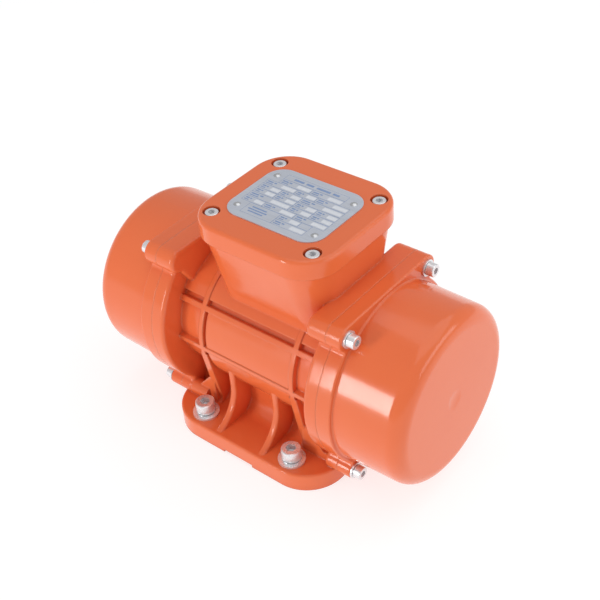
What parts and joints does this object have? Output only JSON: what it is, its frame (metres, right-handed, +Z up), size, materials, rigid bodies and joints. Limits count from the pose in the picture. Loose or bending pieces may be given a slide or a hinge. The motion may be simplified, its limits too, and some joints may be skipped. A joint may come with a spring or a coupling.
{
  "type": "vibration motor",
  "caption": "Foot-mounted external vibration motor: ribbed barrel, screwed end covers over adjustable eccentric weights, offset terminal box with gland.",
  "frame": {"origin": "centre of the foot's underside, on the mounting plane", "axes": "+X along the shaft towards the end cover next to the terminal box, +Y towards the cable gland, +Z up"},
  "size_m": [0.246, 0.13, 0.1685],
  "materials": {
    "casting_paint": "gloss orange enamel on cast aluminium",
    "zinc_steel": "zinc-plated steel",
    "seal_rubber": "black nitrile rubber",
    "plate_aluminium": "satin anodised aluminium",
    "ground_steel": "ground bearing steel",
    "black_steel": "black-oxide steel",
    "shield_iron": "machined cast iron",
    "lamination": "stacked electrical steel",
    "copper_winding": "varnished copper wire",
    "cage_aluminium": "cast aluminium",
    "terminal_plastic": "moulded thermoset",
    "terminal_brass": "turned brass",
    "gland_brass": "nickel-plated brass"
  },
  "bodies": {
    "stator": {"bearing_outer_left": "ground_steel", "bearing_outer_right": "ground_steel", "bearing_retainers": "ground_steel", "bearing_shield_left": "shield_iron", "bearing_shield_right": "shield_iron", "cover_screws": "zinc_steel", "cover_seals": "seal_rubber", "cover_washers": "zinc_steel", "earth_screw": "zinc_steel", "end_cover_left": "casting_paint", "end_cover_right": "casting_paint", "foot_washers": "zinc_steel", "gland_body": "gland_brass", "gland_locknut": "gland_brass", "gland_nut": "gland_brass", "gland_seal": "seal_rubber", "housing": "casting_paint", "lid_gasket": "seal_rubber", "lid_screws": "zinc_steel", "nameplate": "plate_aluminium", "nameplate_rivets": "plate_aluminium", "shield_screws": "zinc_steel", "stator_core": "lamination", "stator_winding": "copper_winding", "terminal_block": "terminal_plastic", "terminal_block_screws": "zinc_steel", "terminal_lid": "casting_paint", "terminal_nuts": "terminal_brass", "terminal_studs": "terminal_brass"},
    "rotor": {"shaft": "ground_steel", "rotor_core": "lamination", "rotor_cage": "cage_aluminium", "bearing_inner_left": "ground_steel", "bearing_inner_right": "ground_steel", "shaft_spacers": "ground_steel", "weight_keys": "ground_steel", "fixed_weight_left": "shield_iron", "fixed_weight_right": "shield_iron", "fixed_clamp_bolts": "black_steel", "scale_discs": "ground_steel", "shaft_washers": "ground_steel", "shaft_circlips": "ground_steel"},
    "ball_set_left": {"bearing_balls_left": "ground_steel", "bearing_cage_left": "ground_steel"},
    "adjustable_weight_left": {"adjustable_weight_left": "shield_iron", "adjustable_clamp_bolt_left": "black_steel"},
    "ball_set_right": {"bearing_balls_right": "ground_steel", "bearing_cage_right": "ground_steel"},
    "adjustable_weight_right": {"adjustable_weight_right": "shield_iron", "adjustable_clamp_bolt_right": "black_steel"}
  },
  "joints": [
    {"name": "rotor_spin", "type": "hinge", "parent": "stator", "child": "rotor", "pos_m": [0, 0, 0.07], "axis": [1, 0, 0], "continuous": true},
    {"name": "ball_set_roll_left", "type": "hinge", "parent": "stator", "child": "ball_set_left", "pos_m": [0, 0, 0.07], "axis": [1, 0, 0], "continuous": true},
    {"name": "ball_set_roll_right", "type": "hinge", "parent": "stator", "child": "ball_set_right", "pos_m": [0, 0, 0.07], "axis": [1, 0, 0], "continuous": true},
    {"name": "weight_setting_left", "type": "hinge", "parent": "rotor", "child": "adjustable_weight_left", "pos_m": [0, 0, 0.07], "axis": [1, 0, 0], "range_deg": [0, 180]},
    {"name": "weight_setting_right", "type": "hinge", "parent": "rotor", "child": "adjustable_weight_right", "pos_m": [0, 0, 0.07], "axis": [1, 0, 0], "range_deg": [-180, 0]}
  ],
  "couplings": [
    {"joint": "ball_set_roll_left", "follows": "rotor_spin", "ratio": 0.3681},
    {"joint": "ball_set_roll_right", "follows": "rotor_spin", "ratio": 0.3681}
  ]
}
